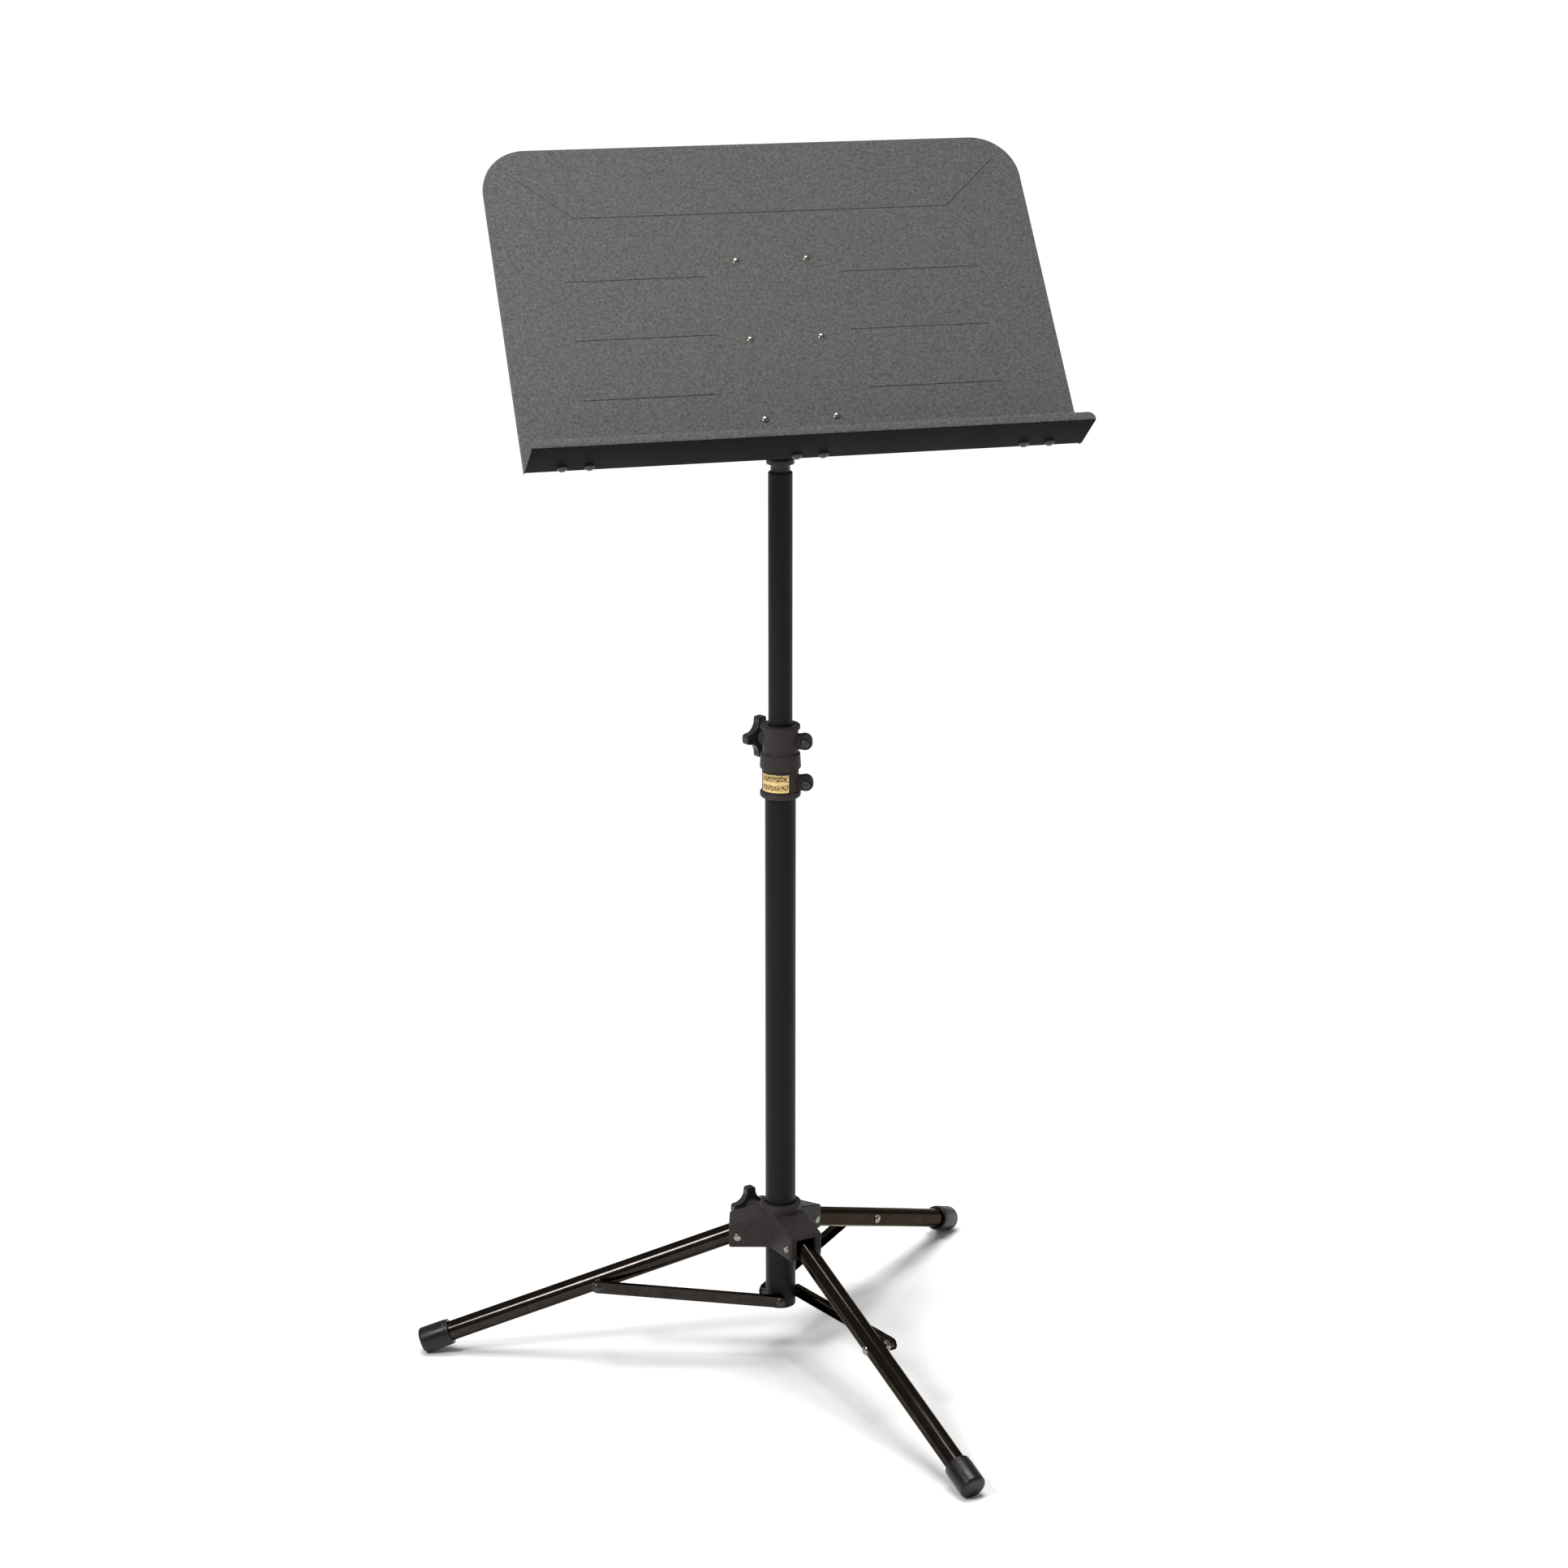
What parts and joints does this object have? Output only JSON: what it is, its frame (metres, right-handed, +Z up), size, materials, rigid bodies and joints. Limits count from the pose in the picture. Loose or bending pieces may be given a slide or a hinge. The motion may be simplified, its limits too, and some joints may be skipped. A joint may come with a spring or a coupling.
{
  "type": "music stand",
  "caption": "Folding orchestra music stand: tilting and swivelling steel desk with a ledge, on a telescoping clamped mast with a collapsing braced tripod.",
  "frame": {"origin": "on the floor, on the mast's axis, at the centre of the three feet", "axes": "+Z up along the mast; -Y is the side that the player sits at, which the desk faces; +X along the desk's lip, to the player's right"},
  "size_m": [0.593, 0.5876, 1.1418],
  "materials": {
    "tube_black": "satin black powder coat on steel tube",
    "leg_black": "gloss brown-black paint on steel tube",
    "desk_coat": "fine textured charcoal powder coat",
    "bracket_coat": "smooth black powder coat",
    "nylon_black": "moulded black nylon, fine satin",
    "knob_black": "moulded black hand knob",
    "cap_vinyl": "soft black vinyl",
    "rivet_nickel": "nickel plated",
    "rivet_black": "blackened rivet",
    "steel_zinc": "zinc plated",
    "brass_insert": "turned brass",
    "label_gold": "gold foil nameplate",
    "bushing_natural": "natural acetal",
    "friction_fibre": "vulcanised fibre",
    "casting_black": "satin black paint on zinc casting"
  },
  "bodies": {
    "mast_base": {"lower_tube": "tube_black", "lower_tube_plug": "nylon_black", "guide_bushing": "bushing_natural", "collar_lower": "nylon_black", "collar_upper": "nylon_black", "collar_screws": "rivet_black", "collar_nuts": "steel_zinc", "label_plate": "label_gold", "brace_pivot_rivets": "rivet_black", "mast_insert": "brass_insert"},
    "upper_mast": {"upper_tube": "tube_black", "glide_plug": "bushing_natural", "swivel_bushing": "nylon_black"},
    "head": {"desk_head": "casting_black"},
    "desk": {"desk_panel": "desk_coat", "desk_ledge": "desk_coat", "ledge_rivets": "rivet_black", "desk_bracket": "bracket_coat", "bracket_rivets": "rivet_nickel", "tilt_bolt": "steel_zinc", "tilt_washers": "friction_fibre", "tilt_spring_washer": "steel_zinc", "tilt_nut": "steel_zinc"},
    "mast_clamp_knob": {"mast_knob": "knob_black", "mast_stud": "steel_zinc"},
    "mast_clamp_pad": {"mast_pad": "bushing_natural"},
    "hub": {"hub_housing": "nylon_black", "leg_pivot_pins": "rivet_nickel", "hub_insert": "brass_insert"},
    "hub_clamp_knob": {"hub_knob": "knob_black", "hub_stud": "steel_zinc"},
    "hub_clamp_pad": {"hub_pad": "bushing_natural"},
    "leg_right": {"leg_tube_right": "leg_black", "foot_cap_right": "cap_vinyl", "leg_brace_pin_right": "rivet_nickel"},
    "brace_arm_right": {"brace_right": "leg_black", "brace_rivet_right": "rivet_black"},
    "leg_left": {"leg_tube_left": "leg_black", "foot_cap_left": "cap_vinyl", "leg_brace_pin_left": "rivet_nickel"},
    "brace_arm_left": {"brace_left": "leg_black", "brace_rivet_left": "rivet_black"},
    "leg_front": {"leg_tube_front": "leg_black", "foot_cap_front": "cap_vinyl", "leg_brace_pin_front": "rivet_nickel"},
    "brace_arm_front": {"brace_front": "leg_black", "brace_rivet_front": "rivet_black"}
  },
  "joints": [
    {"name": "height_slide", "type": "slide", "parent": "mast_base", "child": "upper_mast", "axis": [0, 0, 1], "range_m": [-0.23, 0.19]},
    {"name": "desk_swivel", "type": "hinge", "parent": "upper_mast", "child": "head", "pos_m": [0, 0, 0.863], "axis": [0, 0, 1], "continuous": true},
    {"name": "desk_tilt", "type": "hinge", "parent": "head", "child": "desk", "pos_m": [0, -0.00058, 0.97025], "axis": [-1, 0, 0], "range_deg": [-36, 51]},
    {"name": "mast_knob_turn", "type": "hinge", "parent": "mast_base", "child": "mast_clamp_knob", "pos_m": [-0.01326, 0.02363, 0.611], "axis": [-0.4894, 0.8721, 0], "range_deg": [0, 360]},
    {"name": "mast_pad_slide", "type": "slide", "parent": "mast_base", "child": "mast_clamp_pad", "axis": [-0.4894, 0.8721, 0], "range_m": [0, 0.001]},
    {"name": "base_slide", "type": "slide", "parent": "mast_base", "child": "hub", "axis": [0, 0, 1], "range_m": [0, 0.24769]},
    {"name": "hub_knob_turn", "type": "hinge", "parent": "hub", "child": "hub_clamp_knob", "pos_m": [-0.01684, 0.05183, 0.1335], "axis": [-0.309, 0.9511, 0], "range_deg": [0, 360]},
    {"name": "hub_pad_slide", "type": "slide", "parent": "hub", "child": "hub_clamp_pad", "axis": [-0.309, 0.9511, 0], "range_m": [0, 0.001]},
    {"name": "leg_right_pivot", "type": "hinge", "parent": "hub", "child": "leg_right", "pos_m": [0.02928, 0.02827, 0.12602], "axis": [-0.6947, 0.7193, 0], "range_deg": [0, 69.21]},
    {"name": "brace_right_pivot", "type": "hinge", "parent": "mast_base", "child": "brace_arm_right", "pos_m": [-0.0125, 0.01295, 0.0605], "axis": [0.6947, -0.7193, 0], "range_deg": [0, 71.73]},
    {"name": "leg_left_pivot", "type": "hinge", "parent": "hub", "child": "leg_left", "pos_m": [-0.03912, 0.01122, 0.12602], "axis": [-0.2756, -0.9613, 0], "range_deg": [0, 69.21]},
    {"name": "brace_left_pivot", "type": "hinge", "parent": "mast_base", "child": "brace_arm_left", "pos_m": [-0.00496, -0.0173, 0.0605], "axis": [0.2756, 0.9613, 0], "range_deg": [0, 71.73]},
    {"name": "leg_front_pivot", "type": "hinge", "parent": "hub", "child": "leg_front", "pos_m": [0.00985, -0.03949, 0.12602], "axis": [0.9703, 0.2419, 0], "range_deg": [0, 69.21]},
    {"name": "brace_front_pivot", "type": "hinge", "parent": "mast_base", "child": "brace_arm_front", "pos_m": [0.01747, 0.00436, 0.0605], "axis": [-0.9703, -0.2419, 0], "range_deg": [0, 71.73]}
  ],
  "couplings": [
    {"joint": "mast_pad_slide", "follows": "mast_knob_turn", "m_per_rad": 0.00015915},
    {"joint": "hub_pad_slide", "follows": "hub_knob_turn", "m_per_rad": 0.00015915},
    {"joint": "leg_right_pivot", "follows": "base_slide", "rad_per_m": 4.8762},
    {"joint": "brace_right_pivot", "follows": "base_slide", "rad_per_m": 5.0538},
    {"joint": "leg_left_pivot", "follows": "base_slide", "rad_per_m": 4.8762},
    {"joint": "brace_left_pivot", "follows": "base_slide", "rad_per_m": 5.0538},
    {"joint": "leg_front_pivot", "follows": "base_slide", "rad_per_m": 4.8762},
    {"joint": "brace_front_pivot", "follows": "base_slide", "rad_per_m": 5.0538}
  ]
}
